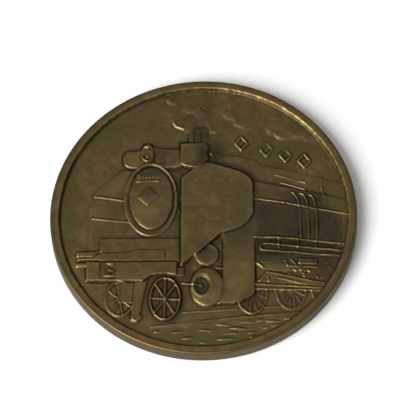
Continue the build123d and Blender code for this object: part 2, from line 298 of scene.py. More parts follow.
def strike_smoke(face):
    """A low cloud of smoke along the rim, in billows that stand up at their lower left edges."""
    cloud = [(-3.4, 11.2), (-2.6, 10.2), (-1.2, 9.7), (1.1, 9.7), (2.4, 11.0), (4.1, 10.1), (5.6, 10.7),
             (6.7, 9.5), (7.9, 9.0), (10.6, 8.8), (12.4, 9.4), (8.0, 13.2), (2.0, 15.0), (-3.0, 14.5),
             (-3.7, 13.0)]
    face.lay(Outline(*smooth(cloud, closed=True)), 0.04, 0.5)
    billows = [
        [(-3.9, 13.6), (-3.0, 12.9), (-2.4, 13.2), (-2.0, 14.2), (-3.0, 14.8)],
        [(-2.1, 12.8), (-1.7, 12.1), (-1.1, 12.0), (-0.6, 11.6), (0.2, 11.9), (0.6, 12.8), (0.0, 13.9),
         (-1.3, 14.0)],
        [(2.4, 13.1), (2.7, 12.4), (3.3, 12.25), (4.2, 12.15), (5.2, 12.6), (5.2, 13.5), (3.6, 14.2)],
        [(1.9, 12.0), (2.3, 11.4), (2.9, 11.2), (3.1, 10.6), (3.7, 10.4), (4.2, 10.0), (4.8, 10.1),
         (5.3, 10.6), (6.3, 10.8), (6.3, 11.8), (5.2, 12.5), (3.2, 12.6)],
        [(6.4, 10.6), (6.5, 9.8), (7.1, 9.5), (7.7, 9.0), (8.8, 9.0), (9.2, 9.5), (9.4, 10.2), (8.6, 11.5),
         (7.1, 11.7)],
        [(8.7, 9.5), (9.4, 9.15), (10.1, 9.1), (10.5, 8.75), (11.4, 8.9), (11.2, 10.0), (10.1, 10.9),
         (9.0, 10.6)],
        [(0.3, 10.5), (0.6, 9.9), (1.1, 9.7), (1.7, 9.9), (2.1, 10.8), (1.7, 11.8), (0.7, 11.9),
         (0.1, 11.3)],
        [(-3.4, 11.3), (-3.1, 10.55), (-2.65, 10.2), (-2.0, 10.1), (-1.3, 10.0), (-0.9, 10.8), (-1.4, 11.8),
         (-2.6, 12.1)],
    ]
    for billow in billows:
        lobe = Outline(*smooth(billow, closed=True))
        face.lay(lobe, slope(lobe.box[:2], lobe.box[2:], 0.17, 0.02), 0.42)
    face.strokes((0.4, 0.11, (-3.25, 10.9), (-2.8, 10.35), (-2.05, 10.1)),
                 (0.34, -0.05, (-0.35, 12.65), (0.4, 12.2)))
    face.height += face.waves(np.random.default_rng(8), 0.2) * 0.013 * soft_step(face.height / 0.04)


def strike_track(face):
    """Two rails that run up to the right, and the ballast in front of them."""
    face.strokes((0.24, 0.07, (-2.0, -10.6), (3.3, -10.27)), (0.22, 0.07, (6.1, -10.1), (7.7, -9.95)))
    face.lay(Outline((-5.1, -12.2), (0.0, -11.55), (9.7, -10.6), (9.4, -11.2), (2.0, -12.0)), 0.04, 0.5)
    face.bead(Line((-5.1, -12.2), (0.0, -11.55), (3.4, -11.18), (6.9, -10.88), (9.8, -10.6)), 0.24, 0.07)
    stones = [
        ((-3.2, -12.85), (-1.8, -12.72)), ((-2.1, -13.5), (-0.9, -13.4)), ((-0.6, -12.5), (1.2, -12.7)),
        ((1.2, -11.95), (2.9, -12.1)), ((2.6, -12.3), (4.5, -12.5)), ((2.0, -12.95), (3.8, -12.9)),
        ((4.4, -12.95), (5.2, -12.8)), ((1.3, -13.6), (3.2, -13.5)), ((3.6, -11.72), (5.3, -11.7)),
        ((5.2, -11.62), (6.4, -11.45)), ((6.2, -11.6), (7.8, -11.65)), ((5.9, -12.35), (6.7, -12.25)),
        ((6.8, -12.15), (7.9, -11.85)), ((8.0, -11.4), (8.9, -11.3)), ((-0.4, -13.9), (0.5, -13.95)),
        ((-4.9, -12.75), (-4.2, -12.7)), ((4.6, -13.4), (5.4, -13.2)), ((8.6, -11.9), (9.2, -11.7)),
    ]
    for number, (start, end) in enumerate(stones):
        face.swell(lens(start, end, (0.22, 0.3, 0.17)[number % 3]), 0.1, 0.12)


def strike_boiler(face):
    """The long side of the boiler in two steps, with its lagging bands, handrail and sand pipes."""
    def barrel(x, y):
        down = (3.95 - 0.24 * (x - 5.1) - y) / 6.2
        return 0.09 + 0.06 * np.sqrt(np.clip(1 - (1.6 * down - 0.8) ** 2, 0, 1))

    lagging = [(1.5, 7.2), (3.4, 6.97), (5.1, 6.5), (5.7, 6.0), (9.5, 5.05), (14.6, 3.6), (14.6, -3.3)]
    face.lay(Outline(*lagging, (1.5, -2.0)), 0.05, 0.14)
    side = [(4.0, 4.3), (5.1, 4.08), (8.5, 3.3), (14.6, 1.9), (14.6, -3.3), (4.0, -2.0)]
    face.lay(Outline(*side), barrel, 0.14)
    face.strokes((0.2, 0.11, (7.3, 4.78), (10.3, 3.86)), (0.2, 0.11, (7.85, 3.88), (10.25, 3.08)),
                 (0.26, 0.07, *smooth([(11.85, 4.45), (11.95, 3.2), (12.2, 2.1), (12.25, 1.5)])),
                 (0.3, 0.06, (11.94, 3.25), (11.95, 3.24)), (0.2, 0.04, (13.7, -0.1), (13.7, -2.6)))
    pipes = [[(8.95, 2.75), (9.4, 2.16), (9.62, 1.46), (9.7, 0.76), (9.8, -2.3)],
             [(9.75, 2.6), (10.15, 2.33), (10.4, 1.63), (10.5, 0.76), (10.58, -2.4)],
             [(10.7, 2.4), (11.06, 2.07), (11.28, 1.2), (11.4, 0.06), (11.42, -2.5)]]
    rail = Line((5.05, 2.1), (8.1, 1.55), (9.5, 1.28), (11.65, 0.8), (14.4, 0.25))
    face.bead(Group(rail, *[Line(*smooth(pipe)) for pipe in pipes]), 0.23, 0.14)
    face.bead(Line((8.08, 1.56), (8.1, 1.55)), 0.4, 0.07)


def strike_undergear(face):
    """What hangs under the running board: the pipe loop, its hangers, brackets and small gear."""
    face.lay(Outline((5.1, -2.3), (14.4, -3.2), (14.0, -5.3), (12.0, -8.2), (5.1, -8.1)), 0.02, 0.16)
    face.bead(Line((4.3, -2.1), (5.1, -2.27), (7.7, -2.45), (9.5, -2.6), (14.2, -3.18)), 0.34, 0.16)
    loop = [(14.2, -3.85), (11.2, -3.53), (8.6, -3.25), (6.3, -3.0), (5.75, -3.1), (5.72, -3.5),
            (6.2, -3.76), (8.6, -3.93), (11.2, -4.2), (13.8, -4.4)]
    face.bead(Line(*smooth(loop)), 0.28, 0.15)
    for x in (7.6, 9.5, 11.3):
        face.bead(Line((x, -2.5), (x, -3.2 - 0.03 * x)), 0.18, 0.09)
    face.lay(Outline((5.2, -4.15), (8.3, -4.3), (8.3, -5.0), (5.2, -4.98)), 0.06, 0.12)
    face.bead(Line((5.2, -5.07), (8.0, -5.1)), 0.16, 0.09)
    face.lay(Outline((5.2, -5.2), (8.3, -5.2), (11.5, -6.2), (6.2, -5.95)), 0.07, 0.2)
    face.lay(Outline((9.5, -4.7), (11.4, -4.75), (11.4, -5.35), (9.5, -5.3)), 0.12, 0.1)
    face.bead(Outline((9.6, -4.75), (11.35, -4.8), (11.35, -5.3), (9.6, -5.25)), 0.15, 0.05)
    face.strokes((0.2, 0.1, (8.35, -5.52), (11.5, -5.64)), (0.2, 0.1, (8.8, -4.7), (9.25, -5.35)),
                 (0.18, 0.09, (8.15, -4.9), (8.5, -5.5)), (0.34, 0.14, (5.35, -5.2), (5.9, -5.66)),
                 (0.22, 0.1, (12.5, -5.5), (12.9, -6.0)))
    for x, y, length in [(9.1, -5.95, 0.2), (9.65, -5.9, 0.15), (8.5, -6.35, 0.4), (9.9, -6.3, 0.35),
                         (10.5, -6.05, 0.2), (11.3, -6.7, 0.35), (11.85, -6.75, 0.15), (10.0, -6.6, 0.2),
                         (12.2, -5.1, 0.2)]:
        face.bead(Line((x, y), (x + length, y - 0.6 * length)), 0.24, 0.09)


def wheel(face, centre, half, spokes, turn=0.0, rim=0.24, rise=0.12, spoke=0.24):
    """A spoked wheel seen at an angle."""
    inner = half[0] - rim, half[1] - rim
    face.bead(Oval(centre, (half[0] - rim / 2, half[1] - rim / 2)), rim * 1.3, rise)
    angles = [math.radians(turn + 360 * number / spokes) for number in range(spokes)]
    tips = [around(1, angle) * inner + centre for angle in angles]
    face.bead(Group(*[Line(centre, tip) for tip in tips]), spoke, rise * 0.75)


def strike_drivers(face):
    """Three driving wheels. Casing and rods are laid over all but their lower parts."""
    for centre, half in (((12.2, -7.9), (1.5, 2.1)), ((8.75, -8.1), (1.6, 2.3)),
                         ((4.85, -8.3), (1.65, 2.55))):
        face.lay(Oval(centre, half), 0.0, 0.2)
        wheel(face, centre, half, 14, turn=7, rise=0.1, spoke=0.2)


def strike_rods(face):
    """The connecting rod that slopes down to the right, and the coupling rod under it."""
    rod = [(6.3, -6.1), (9.2, -6.75), (12.4, -7.5), (12.2, -7.75), (5.2, -7.3), (5.8, -6.7)]
    face.lay(Outline(*rod), 0.09, 0.14)
    face.strokes((0.22, 0.08, (6.3, -6.12), (9.1, -6.78), (12.2, -7.45)),
                 (0.2, 0.08, (7.4, -6.85), (10.5, -7.62)),
                 (0.24, 0.11, (5.65, -7.15), (6.4, -6.6), (6.55, -7.2)))
    face.lay(Outline((5.1, -7.35), (12.2, -7.85), (12.0, -8.3), (5.1, -8.1)), 0.08, 0.14)
    face.strokes((0.22, 0.1, (5.1, -7.52), (7.7, -7.68), (12.1, -7.98)),
                 (0.2, 0.1, (5.1, -8.02), (8.6, -8.17), (12.0, -8.28)))


def strike_far_side(face):
    """Far smoke deflector with its two stays, far wheel, step panel and rail guard."""
    plate = [(-7.0, 5.3), (-8.3, 5.4), (-11.1, 2.8), (-11.4, 2.3), (-11.45, -3.9), (-2.3, -3.9)]
    face.lay(Outline(*plate, (-2.3, 5.3)), 0.055, 0.14)
    face.strokes((0.2, 0.04, (-11.4, 2.3), (-11.45, -3.8)), (0.26, 0.1, (-11.0, 2.35), (-8.1, 1.9)),
                 (0.26, 0.1, (-11.2, -0.16), (-7.5, -0.56)))
    wheel(face, (-8.3, -9.1), (1.55, 2.0), 8, turn=15, rim=0.28, rise=0.15, spoke=0.17)
    face.lay(Outline((-8.45, -7.3), (-6.8, -7.3), (-6.9, -9.5), (-8.45, -9.45)), 0.06, 0.12)
    face.bead(Line((-8.4, -7.4), (-8.4, -9.45), (-6.95, -9.52)), 0.2, 0.07)
    guard = [(-6.78, -7.2), (-5.6, -7.1), (-5.95, -9.0), (-6.25, -10.6), (-6.35, -10.95), (-6.05, -10.95),
             (-6.1, -11.3), (-6.6, -11.65), (-7.15, -11.5), (-6.98, -9.7)]
    face.lay(Outline(*guard), 0.13, 0.16)
    face.bead(Line((-6.75, -7.6), (-6.95, -9.7), (-7.05, -11.3), (-6.6, -11.5), (-6.1, -11.0)), 0.22, 0.06)


def strike_smokebox(face):
    """Smokebox front: its ring, a groove, and the domed door with a blank plate and a plain badge."""
    face.lay(Oval((-5.35, 2.0), (2.75, 4.2)), 0.12, 0.16)
    face.bead(Oval((-5.35, 2.0), (2.6, 4.05)), 0.32, 0.09)
    face.bead(Oval((-5.3, 2.15), (2.28, 3.62)), 0.3, -0.1)
    face.lay(Oval((-5.3, 2.15), (2.15, 3.48)), 0.13, 0.14)
    face.swell(Oval((-5.3, 2.15), (2.15, 3.48)), 0.13, 2.1)
    face.lay(Outline((-6.8, 3.95), (-4.45, 4.0), (-4.45, 4.9), (-6.8, 4.85)), 0.27, 0.12)
    face.bead(Line((-6.75, 3.98), (-4.5, 4.03)), 0.24, 0.09)
    for number in range(6):
        face.swell(Oval((-6.45 + 0.33 * number, 4.5), (0.13, 0.22)), 0.07, 0.12)
    badge = [(-6.65, 2.15), (-5.62, 3.45), (-4.5, 2.3), (-5.6, 1.2)]
    face.lay(Outline(*badge), 0.27, 0.14)
    face.swell(Outline(*badge), 0.1, 0.7)
    face.bead(Outline(*[(-5.52 + 0.32 * (x + 5.6), 2.4 + 0.32 * (y - 2.3)) for x, y in badge]), 0.2, -0.04)
    face.bead(Line((-6.55, 2.1), (-5.62, 1.3)), 0.22, 0.04)


def strike_chimney(face):
    """Feed-water drum behind the top of the smokebox, the lamp on it, and the chimney."""
    def drum(x, y):
        return 0.06 + 0.13 * np.sqrt(np.clip(1 - ((y - 6.6) / 1.3) ** 2, 0, 1))

    def pipe(x, y):
        return 0.04 + 0.1 * np.sqrt(np.clip(1 - ((x + 0.6) / 1.0) ** 2, 0, 1))

    def chimney(x, y):
        return 0.07 + 0.2 * np.sqrt(np.clip(1 - ((x + 1.15) / 1.75) ** 2, 0, 1))

    stack = [(-1.55, 8.2), (0.5, 8.2), (0.45, 9.4), (0.5, 10.2), (-1.6, 10.2), (-1.5, 9.4)]
    face.lay(Outline(*stack), pipe, 0.24)
    for x in (-0.95, -0.25):
        face.bead(Line((x, 8.4), (x, 10.0)), 0.24, -0.05)
    end = smooth([(-6.9, 7.6), (-7.8, 7.5), (-8.15, 7.0), (-8.15, 6.2), (-7.85, 5.75), (-7.1, 5.55)])
    length = [(-6.3, 5.55), (-2.3, 5.75), (-2.3, 7.75), (-4.2, 7.84), (-5.2, 7.9), (-6.3, 7.7)]
    face.lay(Outline(*end, *length), drum, 0.16)
    edge = [(-8.08, 6.9), (-8.08, 6.2), (-7.8, 5.85), (-7.1, 5.65), (-6.5, 5.65)]
    face.bead(Line(*smooth(edge)), 0.24, 0.07)
    face.lay(Outline((-5.2, 8.1), (-4.3, 7.8), (-3.8, 7.5), (-3.8, 6.1), (-5.2, 6.0)), 0.1, 0.3)
    face.bead(Line((-2.66, 7.6), (-2.66, 6.1)), 0.18, 0.05)
    lamp = [(-6.35, 6.6), (-5.87, 6.2), (-5.2, 6.4), (-5.1, 7.0), (-5.15, 7.8), (-5.5, 8.3), (-6.0, 8.3),
            (-6.3, 7.8), (-6.4, 7.1)]
    face.lay(Outline(*smooth(lamp, closed=True)), 0.22, 0.16)
    face.bead(Line(*smooth([(-6.3, 6.8), (-6.1, 6.45), (-5.75, 6.33), (-5.35, 6.45)])), 0.26, 0.11)
    face.swell(lens((-6.1, 8.0), (-5.3, 8.05), 0.5), 0.14, 0.2)
    face.bead(Oval((-5.75, 6.95), (0.48, 0.66)), 0.26, 0.07)
    face.bead(Oval((-5.74, 6.95), (0.12, 0.18)), 0.22, 0.06)
    block = [(-2.35, 8.4), (-2.35, 6.0), (-1.9, 5.75), (-1.2, 5.6), (-0.6, 5.65), (0.0, 6.1), (0.45, 6.6),
             (0.5, 8.0), (0.1, 8.5), (-1.0, 8.45)]
    face.lay(Outline(*block), chimney, 0.16)
    face.bead(Line((-2.25, 8.3), (-2.25, 6.0), (-1.3, 5.7), (-0.6, 5.75)), 0.22, 0.05)
    face.lay(Oval((0.85, 7.3), (0.5, 0.5)), 0.03, 0.3)
    face.swell(Oval((0.78, 7.3), (0.2, 0.2)), 0.13, 0.2)


def strike_front(face):
    """Front casing, footplate, buffer beam with its coupler pocket, and buffer."""
    face.lay(Outline((-10.35, -2.4), (-2.35, -2.4), (-2.35, -5.0), (-10.35, -5.0)),
             slope((0, -2.4), (0, -4.9), 0.13, 0.16), 0.14)
    face.bead(Line((-10.27, -2.55), (-10.27, -3.9)), 0.2, 0.04)
    face.lay(Outline((-12.75, -3.95), (-10.25, -3.82), (-11.0, -4.5), (-12.7, -4.5)), 0.17, 0.14)
    face.lay(Outline((-10.6, -4.2), (-10.24, -4.06), (-7.6, -4.06), (-7.1, -3.7), (-3.86, -3.75),
                     (-3.86, -4.9), (-12.6, -4.9), (-12.6, -4.62), (-11.1, -4.6)), 0.22, 0.14)
    face.lay(Outline((-3.7, -3.7), (-2.5, -2.6), (-2.5, -4.85), (-3.7, -4.85)), 0.19, 0.16)
    beam = [(-11.7, -5.02), (-2.6, -5.02), (-2.65, -6.55), (-4.4, -6.4), (-5.17, -6.5), (-5.7, -6.86),
            (-6.05, -7.15), (-11.7, -7.15)]
    face.lay(Outline(*beam), slope((0, -5.0), (0, -7.1), 0.26, 0.22), 0.16)
    face.strokes((0.2, -0.06, (-12.6, -4.96), (-2.6, -4.96)),
                 (0.2, 0.05, (-11.65, -5.2), (-11.65, -7.1), (-6.05, -7.1), (-5.7, -6.83), (-5.17, -6.47),
                  (-4.4, -6.38), (-2.7, -6.52)))
    face.lay(Outline((-10.4, -5.05), (-8.7, -5.05), (-8.7, -7.0), (-10.4, -7.0)), 0.17, 0.14)
    face.bead(Line((-10.45, -5.15), (-10.45, -7.0)), 0.18, 0.04)
    face.swell(lens((-9.75, -5.2), (-8.75, -5.25), 0.4), 0.12, 0.2)
    face.lay(Oval((-9.3, -5.95), (0.55, 0.45)), 0.12, 0.2)
    face.strokes((0.22, 0.08, (-9.6, -5.8), (-9.0, -6.1)), (0.2, 0.06, (-9.55, -6.25), (-9.1, -5.75)))
    face.swell(lens((-10.0, -6.6), (-8.75, -6.55), 0.3), 0.1, 0.15)
    face.bead(Line((-9.8, -6.86), (-8.8, -6.84)), 0.2, -0.08)
    face.lay(Outline((-12.8, -5.15), (-11.6, -5.15), (-11.6, -5.6), (-12.75, -5.55)), 0.15, 0.16)
    face.bead(Line((-11.65, -7.48), (-10.0, -7.5)), 0.18, 0.06)
    face.lay(Outline((-2.65, -5.7), (-1.9, -5.6), (-1.95, -6.6), (-2.65, -6.6)), 0.12, 0.16)


def strike_near_side(face):
    """Near smoke deflector, cylinder casing, valve chest, cylinder and piston rod."""
    face.lay(Outline((2.0, -1.0), (5.15, -1.0), (5.15, -3.8), (2.0, -3.8)), 0.13, 0.16)
    casing = [(1.97, -3.6), (5.15, -3.6), (5.15, -8.3), (5.05, -8.65), (4.4, -9.13), (3.37, -9.5),
              (3.1, -9.62), (1.4, -9.7), (1.97, -8.5)]
    face.lay(Outline(*casing), 0.21, 0.16)
    face.lay(Outline((2.03, -3.1), (5.1, -3.1), (5.1, -5.2), (2.03, -5.2)),
             slope((0, -3.3), (0, -4.4), 0.15, 0.21), 0.1)
    face.bead(Line((1.4, -9.65), (3.1, -9.57), (3.4, -9.46)), 0.2, 0.03)
    face.lay(Outline((-1.0, -3.0), (1.95, -3.0), (1.95, -5.9), (-1.0, -5.9)), 0.04, 0.3)
    face.lay(Oval((0.35, -4.2), (1.2, 1.2)), 0.15, 0.2)
    face.bead(Oval((0.35, -4.2), (1.08, 1.08)), 0.24, 0.03)
    face.lay(Oval((0.4, -4.05), (0.8, 0.8)), 0.1, 0.4)
    for number in range(6):
        face.swell(Oval((1.78, -3.2 - 0.42 * number), (0.11, 0.11)), 0.07, 0.11)
    face.bead(Line((0.8, -5.62), (1.95, -5.78)), 0.2, 0.08)
    barrel = Oval((0.4, -7.8), (1.7, 2.15))
    face.lay(barrel, 0.13, 0.2)
    face.swell(barrel, 0.14, 1.3)
    face.bead(Oval((-0.1, -7.6), (0.95, 1.28)), 0.34, 0.05)
    face.lay(Oval((-0.12, -7.65), (0.72, 0.98)), 0.09, 0.3)
    face.lay(Oval((-0.18, -7.72), (0.42, 0.52)), 0.03, 0.2)
    face.bead(Line((-2.45, -7.38), (-0.1, -7.64)), 0.26, 0.15)
    deflector = [(-2.25, -5.4), (-2.28, 4.4), (-2.0, 4.75), (-0.7, 5.75), (0.1, 6.2), (0.9, 6.15),
                 (2.3, 5.65), (3.6, 5.2), (4.3, 4.8), (4.75, 4.3), (4.98, 3.7), (5.05, 0.7), (4.9, 0.1),
                 (4.5, -0.5), (3.9, -1.1), (3.2, -1.4), (1.9, -1.8)]
    face.lay(Outline(*deflector), slope((-2.2, 0), (5.0, 0), 0.27, 0.31), 0.16)
    face.strokes((0.2, 0.025, (-2.17, -5.3), (-2.17, 4.4)),
                 (0.28, 0.1, (-2.1, -5.35), (-1.0, -4.4), (1.5, -1.95), (1.95, -1.85), (1.85, -2.25)))


def strike_near_wheel(face):
    """Near leading wheel, in the gap in front of the cylinder."""
    face.lay(Oval((-3.72, -9.0), (1.95, 2.6)), -0.02, 0.24)
    wheel(face, (-3.8, -9.1), (1.62, 2.42), 8, turn=-2, rim=0.28, rise=0.22, spoke=0.34)
    face.swell(Oval((-3.78, -9.05), (0.24, 0.3)), 0.07, 0.2)


def strike_ornaments(face):
    """Four open lozenges in a row over the boiler, where a token may carry lettering."""
    for x, y in [(3.8, 8.45), (6.35, 7.75), (8.3, 7.05), (10.2, 6.4)]:
        lozenge = Outline((x, y + 0.78), (x + 0.62, y), (x, y - 0.78), (x - 0.62, y))
        face.bead(lozenge, 0.34, 0.12)


def strike_rim(face, depth):
    """The raised rim and its inner slope, with the fine groove that a worn die leaves at its foot."""
    x, y = np.meshgrid(face.axis, face.axis)
    far = np.hypot(x, y) + face.waves(np.random.default_rng(7), 0.08) * 0.012
    rise = soft_step((far - FIELD_RADIUS) / RIM_SLOPE)
    face.height += rise * (depth - face.height)
    face.bead(Oval((0, face.lower), (FIELD_RADIUS, FIELD_RADIUS)), 0.24, -0.02)


def finish_face(face, depth, seed):
    """Leave no corner sharper than struck metal can flow, and no field quite even; add a few nicks."""
    face.height = blur(face.height, PITCH)
    random = np.random.default_rng(seed)
    for reach, unevenness in ((0.3, 0.002), (1.1, 0.006)):
        face.height += face.waves(random, reach) * unevenness
    x, y = np.meshgrid(face.axis, face.axis)
    on_rim = soft_step((np.hypot(x, y) - RIM_INNER - 0.3) / 0.2)
    face.height += on_rim * (depth - face.height)
    for _ in range(NICKS):
        angle, far = random.uniform(0, 2 * math.pi), NICKED_RADIUS * math.sqrt(random.uniform(0.1, 1))
        size, heading = random.uniform(0.1, 0.22), random.uniform(0, math.pi)
        start = around(far, angle)
        face.bead(Line(start, start + around(size, heading)), 0.16, -0.012)


def obverse_face():
    face = Face(lower=OBVERSE_LOWER)
    for strike in (strike_smoke, strike_track, strike_boiler, strike_drivers, strike_undergear, strike_rods,
                   strike_far_side, strike_chimney, strike_smokebox, strike_front, strike_near_side,
                   strike_near_wheel, strike_ornaments):
        strike(face)
    strike_rim(face, OBVERSE_DEPTH)
    finish_face(face, OBVERSE_DEPTH, seed=3)
    return face


def reverse_face():
    """A spoked wheel between two sprigs, inside a ring of beads."""
    face = Face()
    face.lay(Oval((0, 0), (5.6, 5.6)), 0.16, 0.16)
    face.lay(Oval((0, 0), (4.7, 4.7)), 0.0, 0.16)
    face.bead(Oval((0, 0), (5.98, 5.98)), 0.3, 0.1)
    spokes = [Line((0, 0), around(4.66, math.radians(30 * number))) for number in range(12)]
    face.bead(Group(*spokes), 0.44, 0.14)
    face.lay(Oval((0, 0), (1.3, 1.3)), 0.16, 0.16)
    face.swell(Oval((0, 0), (0.8, 0.8)), 0.05, 0.6)
    for side in (1, -1):
        angles = [math.radians(-90 + side * (16 + 14.5 * number)) for number in range(9)]
        face.bead(Line(*[around(9.3, angle) for angle in angles]), 0.26, 0.07)
        for angle in angles:
            for lean in (35, -35):
                stem, ahead = around(9.3, angle), around(1, angle + math.radians(side * 90 + lean))
                leaf = lens(stem, stem + 2.3 * ahead, 0.8)
                face.lay(leaf, 0.06, 0.12)
                face.swell(leaf, 0.06, 0.35)
                face.bead(Line(stem, stem + 1.9 * ahead), 0.12, -0.025)
    for number in range(71):
        face.swell(Oval(around(13.74, 2 * math.pi * number / 71), (0.24, 0.24)), 0.12, 0.24)
    strike_rim(face, REVERSE_DEPTH)
    finish_face(face, REVERSE_DEPTH, seed=5)
    return face


# ---- the mesh -------------------------------------------------------------------------------------
def on_disc(column, row):
    """Where a node of the square lattice lies on a face: its square rings become circles."""
    a, b = 2 * column / NODES - 1, 2 * row / NODES - 1
    wide = np.abs(a) > np.abs(b)
    radius = np.where(wide, a, b)
    with np.errstate(divide="ignore", invalid="ignore"):
        angle = np.where(wide, math.pi / 4 * b / a, math.pi / 2 - math.pi / 4 * a / b)
    angle = np.where(radius == 0, 0, angle)
    flat = RADIUS - EDGE_ROUND
    return radius * np.cos(angle) * flat, radius * np.sin(angle) * flat


def sample(face, values, x, y):
    """Values of a face at places between its samples."""
    u, v = (x + face.reach) / PITCH, (y + face.reach) / PITCH
    i, j = np.clip(u.astype(int), 0, len(face.axis) - 2), np.clip(v.astype(int), 0, len(face.axis) - 2)
    u, v = u - i, v - j
    near = values[j, i] * (1 - u) + values[j, i + 1] * u
    far = values[j + 1, i] * (1 - u) + values[j + 1, i + 1] * u
    return near * (1 - v) + far * v


def beside(cells, way):
    """For each cell, what its neighbour below, right, above or left holds."""
    step, axis = ((1, 0), (-1, 1), (-1, 0), (1, 1))[way]
    moved = np.roll(cells, step, axis)
    edge = [slice(None), slice(None)]
    edge[axis] = 0 if step == 1 else -1
    moved[tuple(edge)] = False
    return moved


def split_cells(bend, tolerance):
    """Which cells are halved at each level, so that flat cells miss the true surface by the tolerance."""
    splits = []
    for level in range(LEVELS):
        count = CELLS * 2 ** level
        block = NODES // count
        sharpest = bend.reshape(count, block, count, block).max((1, 3))
        splits.append(sharpest * (2 * RADIUS / count) ** 2 / 8 > tolerance)
    for level in range(LEVELS - 1, 0, -1):
        finer = splits[level]
        near = finer | beside(finer, 0) | beside(finer, 1) | beside(finer, 2) | beside(finer, 3)
        count = CELLS * 2 ** (level - 1)
        splits[level - 1] |= near.reshape(count, 2, count, 2).any((1, 3))
    for level in range(1, LEVELS):
        splits[level] &= splits[level - 1].repeat(2, 0).repeat(2, 1)
    border = np.zeros((CELLS, CELLS), bool)
    border[[0, -1]] = border[:, [0, -1]] = True
    splits[0] |= border
    for level in range(1, LEVELS):
        splits[level] &= ~border.repeat(2 ** level, 0).repeat(2 ** level, 1)
    return splits


def cell_triangles(splits, height):
    """Triangles over the cells, as numbers of lattice nodes; a cell beside smaller ones gets a fan, and
    any other is cut along the diagonal that runs more level."""
    triangles = []
    for level in range(LEVELS + 1):
        count = CELLS * 2 ** level
        step = NODES // count
        leaf = np.ones((count, count), bool) if level == 0 else splits[level - 1].repeat(2, 0).repeat(2, 1)
        split = splits[level] if level < LEVELS else np.zeros((count, count), bool)
        sides = [beside(split, way) for way in range(4)]
        leaf &= ~split
        fan = leaf & np.logical_or.reduce(sides)
        row, column = np.nonzero(leaf & ~fan)
        a, b, c, d = [node(column + i, row + j, step) for i, j in ((0, 0), (1, 0), (1, 1), (0, 1))]
        turned = (np.abs(height[a] - height[c]) > np.abs(height[b] - height[d]))[:, None]
        triangles += [np.where(turned, np.stack([a, b, d], -1), np.stack([a, b, c], -1)),
                      np.where(turned, np.stack([b, c, d], -1), np.stack([a, c, d], -1))]
        round_cell = [(0, 0), (0.5, 0), (1, 0), (1, 0.5), (1, 1), (0.5, 1), (0, 1), (0, 0.5), (0, 0)]
        for way in range(4):
            for halved in (False, True):
                row, column = np.nonzero(fan & (sides[way] == halved))
                first, middle, last, centre = [node(column + i, row + j, step) for i, j in
                                               (*round_cell[2 * way:2 * way + 3], (0.5, 0.5))]
                pairs = [(first, middle), (middle, last)] if halved else [(first, last)]
                triangles += [np.stack([start, end, centre], -1) for start, end in pairs]
    return np.concatenate(triangles)


def node(column, row, step):
    """The number of the lattice node at a cell's column and row, in steps of that many nodes."""
    return (row * step).astype(int) * (NODES + 1) + (column * step).astype(int)


def face_triangles(face, side, budget):
    """Triangles of one face within a budget, as numbers of lattice nodes."""
    rise_y, rise_x = np.gradient(face.height, PITCH)
    bends = [np.abs(bend) for rise in (rise_x, rise_y) for bend in np.gradient(rise, PITCH)]
    column, row = np.meshgrid(np.arange(NODES) + 0.5, np.arange(NODES) + 0.5)
    x, y = on_disc(column, row)
    bend = sample(face, np.maximum.reduce(bends), side * x, y)
    number = np.arange((NODES + 1) ** 2)
    x, y = on_disc(number % (NODES + 1), number // (NODES + 1))
    height = sample(face, face.height, side * x, y)
    tolerance = 0.0004
    while True:
        triangles = cell_triangles(split_cells(bend, tolerance), height)
        if len(triangles) <= budget:
            return triangles
        tolerance *= 1.15


def token_mesh(obverse, reverse):
    """Both faces and the edge as one closed mesh, in metres."""
    points, triangles, loops, count = [], [], [], 0
    ring_nodes = np.arange(0, NODES + 1, NODES // (2 * CELLS))
    zero, full = np.zeros_like(ring_nodes), np.full_like(ring_nodes, NODES)
    columns = np.concatenate([ring_nodes[:-1], full[:-1], ring_nodes[:0:-1], zero[:-1]])
    rows = np.concatenate([zero[:-1], ring_nodes[:-1], full[:-1], ring_nodes[:0:-1]])
    border = rows * (NODES + 1) + columns
    for face, side, budget in ((obverse, 1, OBVERSE_TRIANGLES), (reverse, -1, REVERSE_TRIANGLES)):
        nodes, numbers = np.unique(face_triangles(face, side, budget), return_inverse=True)
        numbers = numbers.reshape(-1, 3)[:, ::side] + count
        x, y = on_disc(nodes % (NODES + 1), nodes // (NODES + 1))
        height = sample(face, face.height, side * x, y)
        z = THICKNESS - OBVERSE_DEPTH + height if side == 1 else REVERSE_DEPTH - height
        points.append(np.column_stack([x, y, z.clip(0, THICKNESS)]))
        triangles.append(numbers)
        loops.append(np.searchsorted(nodes, border) + count)
        count += len(nodes)
    out = np.column_stack(on_disc(columns, rows)) / (RADIUS - EDGE_ROUND)
    turns = np.radians([22.5, 45, 67.5, 90])
    rings = RADIUS - EDGE_ROUND * (1 - np.sin(turns))
    heights = THICKNESS - EDGE_ROUND * (1 - np.cos(turns))
    rings = np.concatenate([rings, [RADIUS] * 3, rings[::-1]])
    heights = np.concatenate([heights, THICKNESS * np.array([0.66, 0.5, 0.34]), THICKNESS - heights[::-1]])
    wall_loops = []
    for ring, height in zip(rings, heights):
        points.append(np.column_stack([out * ring, np.full(len(out), height)]))
        wall_loops.append(count + np.arange(len(out)))
        count += len(out)
    order = [loops[0], *wall_loops, loops[1]]
    for above, below in zip(order, order[1:]):
        triangles += [np.stack([above, below, np.roll(below, -1)], -1),
                      np.stack([above, np.roll(below, -1), np.roll(above, -1)], -1)]
    mesh = bpy.data.meshes.new("struck_token_metal")
    mesh.from_pydata((np.concatenate(points) * MM).tolist(), [], np.concatenate(triangles).tolist())
    mesh.polygons.foreach_set("use_smooth", [True] * len(mesh.polygons))
    return mesh


